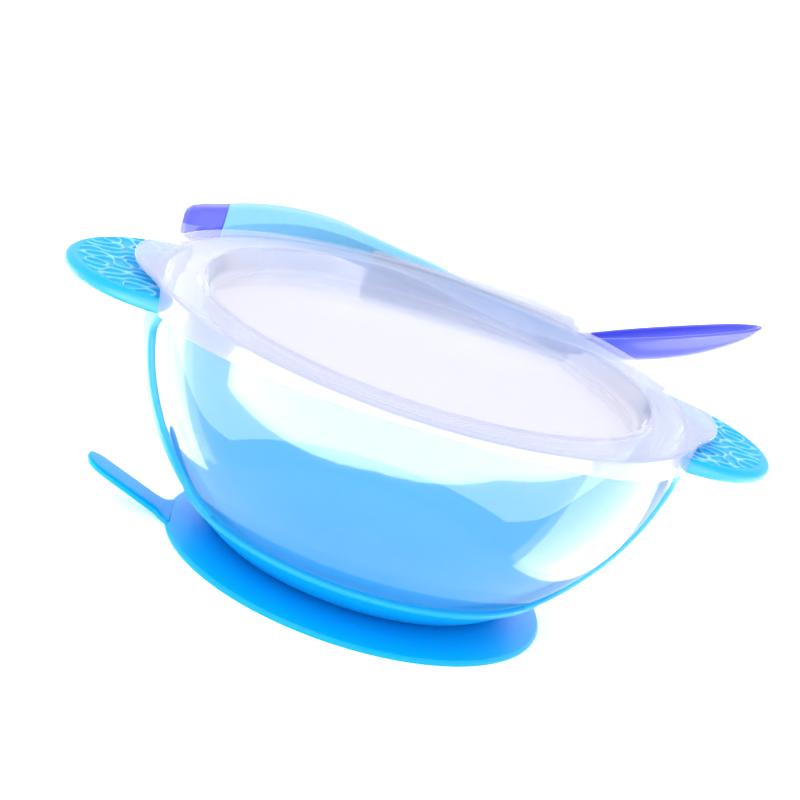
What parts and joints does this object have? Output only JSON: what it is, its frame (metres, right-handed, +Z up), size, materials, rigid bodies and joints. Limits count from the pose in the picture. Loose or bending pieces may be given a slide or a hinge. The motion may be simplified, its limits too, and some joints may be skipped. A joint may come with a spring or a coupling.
{
  "type": "suction bowl",
  "caption": "Round baby feeding bowl with a soft side-gripped frame, a suction cup base with a pull tab, a clear recessed lid and a spoon held in the lid's side clip.",
  "frame": {"origin": "on the bowl's axis, at the level of the surface that the suction cup stands on", "axes": "+Z up, +X along the line of the two side grips, +Y towards the spoon and its clip"},
  "size_m": [0.1832, 0.1544, 0.0734],
  "materials": {
    "bowl_plastic": "translucent gloss",
    "soft_grip": "satin",
    "cup_rubber": "satin translucent",
    "lid_plastic": "milky clear gloss",
    "spoon_plastic": "satin",
    "spoon_soft": "satin"
  },
  "bodies": {
    "cup": {"suction_cup": "cup_rubber"},
    "tab": {"pull_tab": "cup_rubber"},
    "bowl": {"bowl_shell": "bowl_plastic", "soft_frame": "soft_grip"},
    "lid": {"lid": "lid_plastic"},
    "spoon": {"spoon_core": "spoon_plastic", "spoon_grip": "spoon_soft"}
  },
  "joints": [
    {"name": "tab_bend", "type": "hinge", "parent": "cup", "child": "tab", "pos_m": [-0.0492, 0, 0.0014], "axis": [0, 1, 0], "range_deg": [0, 38], "stiffness_Nm_per_rad": 0.01},
    {"name": "bowl_lift", "type": "slide", "parent": "cup", "child": "bowl", "axis": [0, 0, 1], "range_m": [0, 0.02]},
    {"name": "lid_lift", "type": "slide", "parent": "bowl", "child": "lid", "axis": [0, 0, 1], "range_m": [0, 0.04]},
    {"name": "spoon_lift", "type": "slide", "parent": "lid", "child": "spoon", "axis": [0, 0, 1], "range_m": [0, 0.03]}
  ]
}
